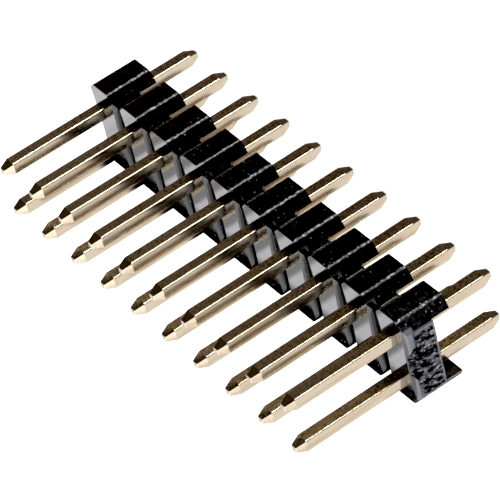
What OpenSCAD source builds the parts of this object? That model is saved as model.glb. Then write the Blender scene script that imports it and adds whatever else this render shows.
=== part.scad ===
// Double-row breakaway pin header, 2.54 mm grid.
// Square pins pass through one moulded insulator that is waisted between
// positions, so that a strip can be snapped to length.
//
// Frame: the board face of the insulator is z = 0 and +Z points to the
// mating side. X runs along the strip and Y across the two rows. The origin
// is the centre of the grid of tails in that board face. The strip was
// snapped off at its -X end, and its +X end is the moulded one.

/* [Grid] */
// Pin positions along each row
positions = 10; // [2:1:20]
// Distance between neighbouring positions
pitch = 2.54; // [2.4:0.01:3]
// Distance between the two rows
row_pitch = 2.54; // [2.2:0.01:2.8]

/* [Pins] */
// Width across the flats of a square pin
pin_w = 0.64; // [0.5:0.01:0.7]
// Size of the broken corner along each edge of a pin
pin_edge = 0.05; // [0.01:0.01:0.08]
// Length of a pin above the mating face
mating_l = 5.95; // [4:0.05:12]
// Length of a pin below the board face
tail_l = 2.9; // [2:0.05:5]
// Length of the four-sided point at each end of a pin
point_l = 0.5; // [0.2:0.05:0.8]
// Width of the flat at the end of each point
point_w = 0.33; // [0.2:0.01:0.45]
// Gap left around a pin in its hole
pin_fit = 0.01; // [0:0.005:0.03]

/* [Insulator] */
// Width across the two long sides
body_w = 4.94; // [4.8:0.02:5.4]
// Height from the board face to the mating face
body_h = 2.5; // [2.3:0.05:3.5]
// Height of the channel along the board face
channel_h = 0.98; // [0.5:0.01:1.2]
// Thickness of the two standoff flanges beside the channel
flange_t = 0.58; // [0.3:0.02:0.7]

/* [Waists between positions] */
// Depth of the V notch in each long side
notch_d = 0.6; // [0.5:0.01:0.8]
// Width of the V notch at the long side
notch_w = 1.32; // [1.2:0.01:1.5]
// Width of the gap between neighbouring blocks
gap_w = 0.38; // [0.2:0.01:0.6]
// Height of the open slot between neighbouring flanges
slot_h = 1.08; // [0.6:0.01:1.3]
// Depth of the groove across the mating face
groove_d = 0.49; // [0.35:0.01:0.8]
// Width of the groove at the middle of the mating face
groove_w = 1; // [0.8:0.01:1.2]
// Radius of the two arcs that bound the groove on the mating face
groove_r = 13.5; // [10:0.5:40]
// Width of the groove below its sloping lip
throat_w = 0.56; // [0.45:0.01:0.65]
// Depth of the sloping lip of the groove
lip_d = 0.18; // [0.05:0.01:0.25]
// Distance from the long side to the steeper shoulder of a block
shoulder_d = 0.23; // [0.1:0.01:0.3]
// Distance from the long side to the straight wall of a block
wall_d = 0.62; // [0.5:0.01:0.8]

/* [Snapped end] */
// How far short of the notch line the web broke at the board side
snap_low = 0.06; // [0:0.01:0.15]
// How far short of it the web broke at half its thickness
snap_mid = 0.02; // [0:0.01:0.15]
// How far short of it the web broke at the mating side
snap_high = 0.09; // [0:0.01:0.15]
// Thickness of the torn skin left on the wall above the web
tear_t = 0.08; // [0.02:0.01:0.15]
// Length of that torn skin across the strip
tear_l = 2.4; // [1:0.1:3]
// How far the middle of that skin lies off the middle of the strip
tear_y = 0.25; // [-0.3:0.05:0.3]
// Distance from the mating face down to the upper edge of that skin
tear_drop = 0.16; // [0.1:0.01:0.25]

/* [Hidden] */
pin_count = 2 * positions;
function pin_name(k) = str("pin_", k < 10 ? "0" : "", k);

half_w = body_w / 2;
half_pitch = pitch / 2;
block_x = half_pitch - gap_w / 2;      // straight wall of a block, from its centre
flat_x = half_pitch - notch_w / 2;     // end of the flat long side
shoulder_x = flat_x + shoulder_d * notch_w / (2 * notch_d);
shoulder_y = half_w - shoulder_d;
wall_y = half_w - wall_d;
web_top = body_h - groove_d;
pin_top = body_h + mating_l;
hole_w = pin_w + 2 * pin_fit;
snap_x = -positions * half_pitch;      // notch line at the snapped end
over = 0.1;                            // how far a cut runs past a face
black = "#151516";
gold = "#d8c292";

// Centre of position n, counted from 0 at the snapped end.
function position_x(n) = (n - (positions - 1) / 2) * pitch;

// Pins are counted in pairs from the snapped end, odd ones in the -Y row.
function pin_x(k) = position_x(floor((k - 1) / 2));
function pin_y(k) = (k % 2 == 1 ? -1 : 1) * row_pitch / 2;

// An outline in X and Z, given its thickness along Y and centred on it.
module across(width) {
    rotate([90, 0, 0])
        linear_extrude(width, center = true)
            children();
}

// One quarter of a block's outline seen along the pins, in the +X +Y corner.
function block_corner() = [
    [flat_x, half_w],
    [shoulder_x, shoulder_y],
    [block_x, wall_y]
];

// The octagonal column around one pair of pins, before its holes.
module block() {
    corner = block_corner();
    last = len(corner) - 1;
    outline = [
        for (p = corner) p,
        for (i = [last : -1 : 0]) [corner[i][0], -corner[i][1]],
        for (p = corner) [-p[0], -p[1]],
        for (i = [last : -1 : 0]) [-corner[i][0], corner[i][1]]
    ];
    throat_x = half_pitch - throat_w / 2;
    lip_w = (groove_w - throat_w) / 2;
    lip_slope = lip_w / lip_d;
    difference() {
        intersection() {
            linear_extrude(body_h)
                polygon(outline);
            across(body_w + 2 * over)
                polygon([
                    [block_x, 0],
                    [block_x, web_top],
                    [throat_x, body_h - lip_d],
                    [throat_x, body_h],
                    [-throat_x, body_h],
                    [-throat_x, body_h - lip_d],
                    [-block_x, web_top],
                    [-block_x, 0]
                ]);
        }
        for (s = [-1, 1])
            translate([s * (half_pitch - groove_w / 2 + groove_r), 0, body_h - lip_d])
                cylinder(
                    r1 = groove_r - lip_w,
                    r2 = groove_r + over * lip_slope,
                    h = lip_d + over,
                    $fn = 240
                );
    }
}

// The bridge on one notch line. Its ends form the V notches, and each end
// arches over the slot between the flanges.
module web() {
    reach = half_pitch - shoulder_x;
    arch_r = gap_w / 2;
    spring_z = slot_h - arch_r;
    difference() {
        translate([0, 0, spring_z])
            linear_extrude(web_top - spring_z)
                polygon([
                    [-reach, shoulder_y],
                    [0, half_w - notch_d],
                    [reach, shoulder_y],
                    [reach, -shoulder_y],
                    [0, -half_w + notch_d],
                    [-reach, -shoulder_y]
                ]);
        for (s = [-1, 1])
            translate([0, s * (wall_y + half_w) / 2, spring_z])
                rotate([90, 0, 0])
                    cylinder(r = arch_r, h = half_w - wall_y, center = true, $fn = 48);
    }
}

// Half of a web, on the +X side of its notch line.
module half_web() {
    intersection() {
        web();
        translate([0, -half_w, 0])
            cube([half_pitch, body_w, body_h]);
    }
}

// The stub of the web that was snapped through, and the skin that tore away
// with its neighbour above it. The notch line is x = 0 here.
module snapped_web() {
    mid_z = (channel_h + web_top) / 2;
    wall = gap_w / 2;
    intersection() {
        half_web();
        across(body_w)
            polygon([
                [snap_low, 0],
                [snap_low, channel_h],
                [snap_mid, mid_z],
                [snap_high, web_top + over],
                [half_pitch, web_top + over],
                [half_pitch, 0]
            ]);
    }
    translate([0, tear_y, 0])
        across(tear_l)
            polygon([
                [wall + over, web_top - over],
                [wall - tear_t, web_top - over],
                [throat_w / 2 - tear_t / 2, body_h - tear_drop],
                [groove_w / 2, body_h - tear_drop]
            ]);
}

// The single black moulding.
module insulator() {
    channel_w = body_w - 2 * flange_t;
    color(black)
        difference() {
            union() {
                for (n = [0 : positions - 1])
                    translate([position_x(n), 0, 0])
                        block();
                for (n = [1 : positions - 1])
                    translate([snap_x + n * pitch, 0, 0])
                        web();
                translate([snap_x, 0, 0])
                    snapped_web();
                translate([-snap_x, 0, 0])
                    mirror([1, 0, 0])
                        half_web();
            }
            translate([snap_x - over, -channel_w / 2, -over])
                cube([-2 * snap_x + 2 * over, channel_w, channel_h + over]);
            for (k = [1 : pin_count])
                translate([pin_x(k), pin_y(k), body_h / 2])
                    cube([hole_w, hole_w, body_h + 2 * over], center = true);
        }
}

// Outline of a pin seen from the side, with its points.
module pin_side() {
    polygon([
        [pin_w / 2, -tail_l + point_l],
        [pin_w / 2, pin_top - point_l],
        [point_w / 2, pin_top],
        [-point_w / 2, pin_top],
        [-pin_w / 2, pin_top - point_l],
        [-pin_w / 2, -tail_l + point_l],
        [-point_w / 2, -tail_l],
        [point_w / 2, -tail_l]
    ]);
}

// One square wire pin: the same pointed outline from both sides, with its
// four long edges broken.
module pin(k) {
    half = pin_w / 2;
    inner = half - pin_edge;
    color(gold)
        translate([pin_x(k), pin_y(k), 0])
            intersection() {
                across(pin_w)
                    pin_side();
                rotate([0, 0, 90])
                    across(pin_w)
                        pin_side();
                translate([0, 0, -tail_l])
                    linear_extrude(pin_top + tail_l)
                        polygon([
                            [half, inner],
                            [inner, half],
                            [-inner, half],
                            [-half, inner],
                            [-half, -inner],
                            [-inner, -half],
                            [inner, -half],
                            [half, -inner]
                        ]);
            }
}

insulator();
for (k = [1 : pin_count])
    pin(k);
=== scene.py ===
"""Double-row breakaway pin header on a 2.54 mm grid.

The looks of the part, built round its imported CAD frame. Shapes are modelled in
millimetres in the frame of the record (board face at z = 0, +Z to the mating
side, X along the strip with the snapped end at -X) and are turned into metres
once they are finished.
"""

import logging
import math
from contextlib import contextmanager
from dataclasses import dataclass
from enum import Enum
from typing import Callable, Iterable, Iterator, Optional, Sequence, Union

import bpy
from mathutils import Matrix, Vector

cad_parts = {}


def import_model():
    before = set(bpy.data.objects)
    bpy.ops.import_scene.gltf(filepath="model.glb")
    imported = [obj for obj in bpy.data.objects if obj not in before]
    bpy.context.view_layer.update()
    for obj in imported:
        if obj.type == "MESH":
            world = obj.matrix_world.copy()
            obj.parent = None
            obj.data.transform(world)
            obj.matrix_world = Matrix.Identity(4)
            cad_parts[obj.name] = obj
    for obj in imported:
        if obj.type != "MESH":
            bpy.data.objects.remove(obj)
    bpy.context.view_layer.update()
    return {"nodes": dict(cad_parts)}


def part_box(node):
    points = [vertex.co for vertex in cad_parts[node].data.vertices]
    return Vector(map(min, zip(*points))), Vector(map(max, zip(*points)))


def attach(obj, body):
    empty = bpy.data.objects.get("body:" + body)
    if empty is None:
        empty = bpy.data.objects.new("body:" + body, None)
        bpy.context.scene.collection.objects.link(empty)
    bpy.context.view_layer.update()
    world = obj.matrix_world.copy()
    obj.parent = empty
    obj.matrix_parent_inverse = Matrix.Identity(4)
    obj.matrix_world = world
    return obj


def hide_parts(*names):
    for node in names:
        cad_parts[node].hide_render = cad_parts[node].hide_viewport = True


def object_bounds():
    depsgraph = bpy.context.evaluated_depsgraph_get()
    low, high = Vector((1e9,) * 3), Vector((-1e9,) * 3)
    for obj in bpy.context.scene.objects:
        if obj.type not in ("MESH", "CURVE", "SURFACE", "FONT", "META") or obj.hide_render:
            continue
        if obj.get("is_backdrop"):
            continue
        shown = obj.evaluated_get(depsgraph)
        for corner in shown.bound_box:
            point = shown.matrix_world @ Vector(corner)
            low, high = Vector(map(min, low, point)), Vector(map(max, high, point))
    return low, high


LOG = logging.getLogger("pin_header")
MM = 0.001

# Facets round a rod and round a cone.
ROD_FACETS = 48
CONE_FACETS = 240
# Points closer than this are one point, in millimetres.
SAME_POINT = 1e-4
# Faces that differ by less than this many degrees are one flat face.
FLAT = 0.5
# A face looks along an axis if its normal reaches this far along it.
ALONG = 0.9
# Mean value of a noise pattern.
NOISE_MEAN = 0.5
# Settings of a range that is mapped smoothly.
SMOOTH = {"interpolation_type": "SMOOTHSTEP"}

Point = Sequence[float]
Socket = bpy.types.NodeSocket
Value = Union[Socket, float, Sequence[float]]
Inputs = Union[Sequence[Value], dict[Union[int, str], Value]]
Outputs = bpy.types.NodeOutputs


class Combine(Enum):
    """How a second solid changes the first."""

    UNION = "UNION"
    DIFFERENCE = "DIFFERENCE"


class Element(Enum):
    """What is selected in a mesh, as flags for points, edges and faces."""

    EDGE = (False, True, False)
    FACE = (False, False, True)


class Slot(Enum):
    """Material slots of the record."""

    INSULATOR = "insulator"
    PIN = "pin_plating"


# ---------------------------------------------------------------- modelling


def activate(obj: bpy.types.Object) -> None:
    """Makes one object the only selected and the active one.

    Args:
        obj: The object.
    """
    bpy.ops.object.select_all(action="DESELECT")
    obj.select_set(True)
    bpy.context.view_layer.objects.active = obj


class Shape:
    """A mesh object while it is modelled, in millimetres.

    Attributes:
        obj: The Blender object. It stays at the origin, unrotated and unscaled.
    """

    def __init__(self, obj: bpy.types.Object, name: str) -> None:
        """Takes over a new primitive and puts its place into its mesh.

        Args:
            obj: The primitive.
            name: Its new name.
        """
        self.obj = obj
        obj.name = name
        obj.data.name = name
        activate(obj)
        bpy.ops.object.transform_apply(location=True, rotation=True, scale=True)

    @classmethod
    def box(cls, name: str, low: Point, high: Point) -> "Shape":
        """Adds a box.

        Args:
            name: Name of the object.
            low: Lowest corner.
            high: Highest corner.

        Returns:
            The new shape.
        """
        low, high = Vector(low), Vector(high)
        bpy.ops.object.select_all(action="DESELECT")
        bpy.ops.mesh.primitive_cube_add(size=1.0, location=(low + high) / 2)
        obj = bpy.context.active_object
        obj.scale = high - low
        return cls(obj, name)

    @classmethod
    def rod_along_y(cls, name: str, centre: Point, radius: float, length: float) -> "Shape":
        """Adds a cylinder that lies along Y.

        Args:
            name: Name of the object.
            centre: Middle of the cylinder.
            radius: Its radius.
            length: Its length.

        Returns:
            The new shape.
        """
        bpy.ops.object.select_all(action="DESELECT")
        bpy.ops.mesh.primitive_cylinder_add(
            vertices=ROD_FACETS,
            radius=radius,
            depth=length,
            location=centre,
            rotation=(math.pi / 2, 0.0, 0.0),
        )
        return cls(bpy.context.active_object, name)

    @classmethod
    def cone(cls, name: str, base: Point, low: float, high: float, depth: float) -> "Shape":
        """Adds a cut-off cone that stands on its base.

        Args:
            name: Name of the object.
            base: Middle of its lower end.
            low: Radius at the lower end.
            high: Radius at the upper end.
            depth: Height of the cone.

        Returns:
            The new shape.
        """
        bpy.ops.object.select_all(action="DESELECT")
        bpy.ops.mesh.primitive_cone_add(
            vertices=CONE_FACETS,
            radius1=low,
            radius2=high,
            depth=depth,
            location=Vector(base) + Vector((0.0, 0.0, depth / 2)),
        )
        return cls(bpy.context.active_object, name)

    @contextmanager
    def editing(self) -> Iterator[None]:
        """Opens edit mode with everything selected, and closes it again.

        Returns:
            What a with statement needs.
        """
        activate(self.obj)
        bpy.ops.object.mode_set(mode="EDIT")
        bpy.ops.mesh.select_all(action="SELECT")
        yield
        bpy.ops.object.mode_set(mode="OBJECT")

    def cut(self, point: Point, normal: Point) -> None:
        """Cuts away what lies on the side a plane's normal points to, and closes the cut.

        Args:
            point: A point of the plane.
            normal: Its normal.
        """
        with self.editing():
            bpy.ops.mesh.bisect(
                plane_co=point,
                plane_no=normal,
                use_fill=True,
                clear_outer=True,
                threshold=SAME_POINT / 10,
            )

    def combine(self, tool: "Shape", how: Combine) -> None:
        """Unites this solid with another one, or cuts the other one out of it.

        Args:
            tool: The other solid, which is used up.
            how: What to do.
        """
        modifier = self.obj.modifiers.new("combine", "BOOLEAN")
        modifier.operation = how.value
        modifier.solver = "EXACT"
        modifier.object = tool.obj
        activate(self.obj)
        bpy.ops.object.modifier_apply(modifier=modifier.name)
        bpy.data.objects.remove(tool.obj)

    def copy_at(self, offset: Point) -> "Shape":
        """Copies the shape, with its own mesh.

        Args:
            offset: How far the copy is moved.

        Returns:
            The copy.
        """
        activate(self.obj)
        bpy.ops.object.duplicate(linked=False)
        copy = bpy.context.active_object
        copy.location = offset
        return Shape(copy, self.obj.name)

    def mirrored(self) -> "Shape":
        """Copies the shape across the plane x = 0.

        Returns:
            The copy.
        """
        activate(self.obj)
        bpy.ops.object.duplicate(linked=False)
        copy = bpy.context.active_object
        copy.scale = (-1.0, 1.0, 1.0)
        shape = Shape(copy, self.obj.name)
        with shape.editing():
            bpy.ops.mesh.flip_normals()
        return shape

    def join(self, others: Iterable["Shape"]) -> None:
        """Takes other shapes into this object, as they are.

        Args:
            others: The other shapes, which are used up.
        """
        activate(self.obj)
        for other in others:
            other.obj.select_set(True)
        bpy.ops.object.join()

    def select_nothing(self, kind: Element) -> None:
        """Deselects the whole mesh.

        Args:
            kind: What is going to be selected next.
        """
        bpy.context.tool_settings.mesh_select_mode = kind.value
        with self.editing():
            bpy.ops.mesh.select_all(action="DESELECT")

    def select_faces(self, rule: Callable[[Vector, Vector], bool]) -> None:
        """Goes into edit mode with only some faces selected.

        Args:
            rule: Says from a face's centre and normal whether it is selected.
        """
        self.select_nothing(Element.FACE)
        for polygon in self.obj.data.polygons:
            polygon.select = rule(polygon.center, polygon.normal)
        bpy.ops.object.mode_set(mode="EDIT")

    def select_edges(self, rule: Callable[[Vector, Vector], bool]) -> None:
        """Goes into edit mode with only some edges selected.

        Args:
            rule: Says from the two ends of an edge whether it is selected.
        """
        self.select_nothing(Element.EDGE)
        points = self.obj.data.vertices
        for edge in self.obj.data.edges:
            start, end = (points[i].co for i in edge.vertices)
            edge.select = rule(start, end)
        bpy.ops.object.mode_set(mode="EDIT")

    def round_edges(self, width: float, segments: int, angle: float) -> None:
        """Rounds every edge that is sharper than an angle.

        Args:
            width: Width of the rounding.
            segments: Facets across it.
            angle: The angle in degrees.
        """
        modifier = self.obj.modifiers.new("round", "BEVEL")
        modifier.width = width
        modifier.segments = segments
        modifier.limit_method = "ANGLE"
        modifier.angle_limit = math.radians(angle)
        modifier.use_clamp_overlap = False
        activate(self.obj)
        bpy.ops.object.modifier_apply(modifier=modifier.name)

    def tidy(self) -> None:
        """Merges points that coincide and dissolves edges inside flat faces."""
        with self.editing():
            bpy.ops.mesh.remove_doubles(threshold=SAME_POINT)
            bpy.ops.mesh.dissolve_limited(angle_limit=math.radians(FLAT))
            bpy.ops.mesh.normals_make_consistent(inside=False)

    def finish(self, smooth_angle: float) -> bpy.types.Object:
        """Turns the shape into metres and shades its gentle edges smooth.

        Args:
            smooth_angle: Edges flatter than this many degrees are shaded smooth.

        Returns:
            The finished object.
        """
        self.obj.scale = (MM, MM, MM)
        activate(self.obj)
        bpy.ops.object.transform_apply(location=True, rotation=True, scale=True)
        bpy.ops.object.shade_smooth_by_angle(angle=math.radians(smooth_angle))
        modifier = self.obj.modifiers.new("flat_faces", "WEIGHTED_NORMAL")
        modifier.weight = 100
        modifier.keep_sharp = True
        bpy.ops.object.modifier_apply(modifier=modifier.name)
        return self.obj


# ---------------------------------------------------------------- materials


class Kind(Enum):
    """The kinds of shader nodes that the finishes and the light are made of."""

    PLACE = "ShaderNodeTexCoord"
    SPLIT = "ShaderNodeSeparateXYZ"
    JOIN = "ShaderNodeCombineXYZ"
    CHANNELS = "ShaderNodeSeparateColor"
    MATH = "ShaderNodeMath"
    VECTOR = "ShaderNodeVectorMath"
    RANGE = "ShaderNodeMapRange"
    MIX = "ShaderNodeMix"
    NOISE = "ShaderNodeTexNoise"
    CELLS = "ShaderNodeTexVoronoi"
    BUMP = "ShaderNodeBump"
    PRINCIPLED = "ShaderNodeBsdfPrincipled"
    DIFFUSE = "ShaderNodeBsdfDiffuse"
    CLEAR = "ShaderNodeBsdfTransparent"
    BLEND = "ShaderNodeMixShader"
    SUM = "ShaderNodeAddShader"
    LIGHT = "ShaderNodeBackground"
    SURFACE = "ShaderNodeOutputMaterial"
    WORLD = "ShaderNodeOutputWorld"


def linear(hex_colour: str) -> tuple[float, float, float, float]:
    """Turns an sRGB hex colour into linear values.

    Args:
        hex_colour: The colour, as in "#c8c8c8".

    Returns:
        Red, green, blue and alpha.
    """
    parts = [int(hex_colour[i : i + 2], 16) / 255 for i in (1, 3, 5)]
    red, green, blue = (c / 12.92 if c <= 0.04045 else ((c + 0.055) / 1.055) ** 2.4 for c in parts)
    return red, green, blue, 1.0


class Graph:
    """A node tree that is built up node by node."""

    def __init__(self, tree: bpy.types.NodeTree) -> None:
        """Takes over the tree of a material or world and empties it."""
        self.tree = tree
        tree.nodes.clear()

    def add(self, kind: Kind, inputs: Inputs = (), **settings: object) -> Outputs:
        """Adds a node with its settings and links.

        Args:
            kind: What it is.
            inputs: Values or sockets for its inputs, in order, or by number or name.
            **settings: Its own properties.

        Returns:
            Its outputs.
        """
        node = self.tree.nodes.new(kind.value)
        for name, value in settings.items():
            setattr(node, name, value)
        named = inputs if isinstance(inputs, dict) else dict(enumerate(inputs))
        for name, value in named.items():
            if isinstance(value, bpy.types.NodeSocket):
                self.tree.links.new(value, node.inputs[name])
            else:
                node.inputs[name].default_value = value
        return node.outputs

    def millimetres(self) -> Socket:
        """Finds the place on the object in millimetres."""
        place = self.add(Kind.PLACE)["Object"]
        return self.add(Kind.VECTOR, {0: place, "Scale": 1 / MM}, operation="SCALE")[0]


@dataclass(frozen=True)
class Pattern:
    """An uneven pattern of soft blotches.

    Attributes:
        scale: Blotches to a millimetre, roughly.
        detail: How many finer patterns lie in it.
        weight: How much each finer one shows.
    """

    scale: float
    detail: float = 3.0
    weight: float = 0.5

    def at(self, place: Socket) -> dict[str, Value]:
        """Gives what its node needs at a place in millimetres."""
        look = {"Scale": self.scale, "Detail": self.detail, "Roughness": self.weight}
        return {"Vector": place, **look}


@dataclass(frozen=True)
class Step:
    """A smooth step from one value to another.

    Attributes:
        low: Where it starts.
        high: Where it ends.
        before: Value before its start.
        after: Value after its end.
    """

    low: float
    high: float
    before: float = 0.0
    after: float = 1.0

    def of(self, value: Value) -> tuple[Value, ...]:
        """Gives what its node needs for a value."""
        return value, self.low, self.high, self.before, self.after


@dataclass(frozen=True)
class Finish:
    """A finish and the way to build its material.

    Attributes:
        name: Name of the material.
    """

    name: str

    def build(self) -> bpy.types.Material:
        """Builds the material.

        Returns:
            The material.
        """
        material = bpy.data.materials.new(self.name)
        material.use_nodes = True
        graph = Graph(material.node_tree)
        shader = self.surface(graph)
        graph.add(Kind.SURFACE, {"Surface": shader})
        return material

    def surface(self, graph: Graph) -> Socket:
        """Builds the surface shader in the material's nodes."""
        raise NotImplementedError


@dataclass(frozen=True)
class MouldedPlastic(Finish):
    """Glass-filled black PBT as it leaves a polished mould.

    Polished steel leaves it deep black with sharp highlights that waver a little
    where the plastic shrank. Its ridges are scuffed white, and its static charge
    holds specks of dust.

    Attributes:
        black: Colour of a clean face.
        dusty_black: Colour under a film of dust.
        film: Pattern of that film.
        film_share: How much of it shows.
        ior: Index of refraction of PBT.
        ridge: Place of a ridge of a block, from its middle.
        ridge_reach: How far the wear on a ridge reaches.
        ridge_side: Wear on the ridges towards -X and towards +X.
        notch: Place of a notch line, from the middle of a block.
        notch_reach: How far the wear on it reaches.
        notch_share: How much of that shows.
        scuff: Colour of the wear.
        ragged: Pattern that makes its outline ragged, in chips of 0.1 mm.
        ragged_depth: How far it does.
        flakes: Pattern that breaks the wear up into flakes of 0.2 mm.
        flake_share: How much of it shows.
        pitch: From one block to the next.
        end_wall: Wall at the snapped end, dulled where its neighbour tore off.
        above_web: Height where that starts.
        dust: Colour of dust.
        drift: Pattern that moves the specks of dust off their cells.
        drift_length: How far it does.
        specks: Cells to a millimetre, largest radius in cells and share of
            filled cells, for sparse and for dense specks. Real dust is finer
            than these 0.04 mm, which are the smallest that show.
        speck_share: How much of a speck shows.
        haze: Pattern of the dust rubbed onto the snapped end.
        haze_share: How much of it shows.
        haze_end: How it fades out along the strip.
        gloss: Pattern of the gloss.
        gloss_rough: Its roughness.
        worn_rough: Roughness of wear and dust.
        sink: Pattern of the slight waves of a shrunk moulding, 1 mm long.
        sink_depth: Their depth.
        grain: Pattern of the glass fibres below the skin. They are 0.01 mm thick,
            too fine to show, so they are drawn 0.04 mm wide.
        grain_depth: Their depth.
    """

    black: str = "#030304"
    dusty_black: str = "#0a0a0b"
    film: Pattern = Pattern(0.9, 4.0)
    film_share: Step = Step(0.35, 0.65)
    ior: float = 1.52
    ridge: tuple[float, float] = (0.61, 2.47)
    ridge_reach: float = 0.1
    ridge_side: Step = Step(-0.1, 0.1, 1.0, 0.12)
    notch: tuple[float, float] = (1.27, 1.87)
    notch_reach: float = 0.05
    notch_share: float = 0.15
    scuff: str = "#d3d8e0"
    ragged: Pattern = Pattern(9.0, 5.0, 0.8)
    ragged_depth: float = 0.28
    flakes: Pattern = Pattern(4.5, 3.0, 0.7)
    flake_share: Step = Step(0.49, 0.62, 0.1, 1.0)
    pitch: float = 2.54
    end_wall: Step = Step(-12.4, -12.36, 0.22, 0.0)
    above_web: Step = Step(1.95, 2.05)
    dust: str = "#a3a6ad"
    drift: Pattern = Pattern(5.0)
    drift_length: float = 0.25
    specks: tuple[tuple[float, float, float], ...] = ((3.2, 0.14, 0.4), (8.0, 0.3, 0.12))
    speck_share: float = 0.7
    haze: Pattern = Pattern(4.0, 8.0, 0.85)
    haze_share: Step = Step(0.48, 0.66)
    haze_end: Step = Step(-11.76, -10.36, 0.12, 0.0)
    gloss: Pattern = Pattern(2.2, 5.0, 0.6)
    gloss_rough: Step = Step(0.3, 0.7, 0.05, 0.1)
    worn_rough: float = 0.6
    sink: Pattern = Pattern(1.1, 2.0)
    sink_depth: float = 0.004
    grain: Pattern = Pattern(26.0, 3.0, 0.6)
    grain_depth: float = 0.0006

    def strain(self, graph: Graph, place: Socket) -> Socket:
        """Finds the wall above the snapped web, dulled where its neighbour tore off.

        Args:
            graph: The material's nodes.
            place: Place in millimetres.

        Returns:
            Share of dull surface.
        """
        axes = graph.add(Kind.SPLIT, (place,))
        end = graph.add(Kind.RANGE, self.end_wall.of(axes[0]), **SMOOTH)[0]
        above = graph.add(Kind.RANGE, self.above_web.of(axes[2]), **SMOOTH)[0]
        return graph.add(Kind.MATH, (end, above), operation="MULTIPLY")[0]

    def line_wear(
        self, graph: Graph, across: Socket, line: tuple[float, float], reach: float
    ) -> Socket:
        """Fades out from 1 on a line along Z to 0 where the wear ends."""
        gap = graph.add(Kind.VECTOR, (across, (*line, 0.0)), operation="DISTANCE")["Value"]
        return graph.add(Kind.RANGE, Step(reach / 4, reach, 1.0, 0.0).of(gap), **SMOOTH)[0]

    def wear(self, graph: Graph, place: Socket) -> Socket:
        """Finds where the ridges and notch lines are scuffed white.

        Args:
            graph: The material's nodes.
            place: Place in millimetres.

        Returns:
            Share of scuffed surface.
        """
        axes = graph.add(Kind.SPLIT, (place,))
        along = graph.add(Kind.MATH, (axes[0], self.pitch, 0.0), operation="WRAP")[0]
        along = graph.add(Kind.MATH, (along, self.pitch / 2), operation="SUBTRACT")[0]
        ragged = graph.add(Kind.NOISE, self.ragged.at(place))[0]
        ragged = graph.add(Kind.MATH, (ragged, NOISE_MEAN), operation="SUBTRACT")[0]
        ragged = graph.add(Kind.MATH, (ragged, self.ragged_depth), operation="MULTIPLY")[0]
        sides = []
        for axis in (along, axes[1]):
            side = graph.add(Kind.MATH, (axis,), operation="ABSOLUTE")[0]
            sides.append(graph.add(Kind.MATH, (side, ragged), operation="ADD")[0])
        across = graph.add(Kind.JOIN, sides)[0]
        side = graph.add(Kind.RANGE, self.ridge_side.of(along), **SMOOTH)[0]
        ridge = self.line_wear(graph, across, self.ridge, self.ridge_reach)
        ridge = graph.add(Kind.MATH, (ridge, side), operation="MULTIPLY")[0]
        notch = self.line_wear(graph, across, self.notch, self.notch_reach)
        notch = graph.add(Kind.MATH, (notch, self.notch_share), operation="MULTIPLY")[0]
        both = graph.add(Kind.MATH, (ridge, notch), operation="MAXIMUM")[0]
        flakes = graph.add(Kind.NOISE, self.flakes.at(place))[0]
        flakes = graph.add(Kind.RANGE, self.flake_share.of(flakes), **SMOOTH)[0]
        return graph.add(Kind.MATH, (both, flakes), operation="MULTIPLY")[0]

    def dust_specks(self, graph: Graph, place: Socket) -> Socket:
        """Scatters specks of dust over all faces.

        Args:
            graph: The material's nodes.
            place: Place in millimetres.

        Returns:
            1 in a speck and 0 elsewhere.
        """
        drift = graph.add(Kind.NOISE, self.drift.at(place))["Color"]
        inputs = (drift, (self.drift_length,) * 3, place)
        loose = graph.add(Kind.VECTOR, inputs, operation="MULTIPLY_ADD")[0]
        kinds = []
        for scale, radius, share in self.specks:
            cells = graph.add(Kind.CELLS, {"Vector": loose, "Scale": scale})
            chance = graph.add(Kind.CHANNELS, (cells["Color"],))
            reach = graph.add(Kind.MATH, (chance[1], radius), operation="MULTIPLY")[0]
            inside = graph.add(Kind.MATH, (cells["Distance"], reach), operation="LESS_THAN")[0]
            chosen = graph.add(Kind.MATH, (chance[0], share), operation="LESS_THAN")[0]
            kinds.append(graph.add(Kind.MATH, (inside, chosen), operation="MULTIPLY")[0])
        return graph.add(Kind.MATH, kinds, operation="MAXIMUM")[0]

    def dusting(self, graph: Graph, place: Socket) -> Socket:
        """Finds the dust: specks all over, and a haze rubbed onto the snapped end.

        Args:
            graph: The material's nodes.
            place: Place in millimetres.

        Returns:
            Share of dusty surface.
        """
        specks = self.dust_specks(graph, place)
        specks = graph.add(Kind.MATH, (specks, self.speck_share), operation="MULTIPLY")[0]
        along = graph.add(Kind.SPLIT, (place,))[0]
        end = graph.add(Kind.RANGE, self.haze_end.of(along), **SMOOTH)[0]
        haze = graph.add(Kind.NOISE, self.haze.at(place))[0]
        haze = graph.add(Kind.RANGE, self.haze_share.of(haze), **SMOOTH)[0]
        haze = graph.add(Kind.MATH, (end, haze), operation="MULTIPLY")[0]
        return graph.add(Kind.MATH, (specks, haze), operation="MAXIMUM")[0]

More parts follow.
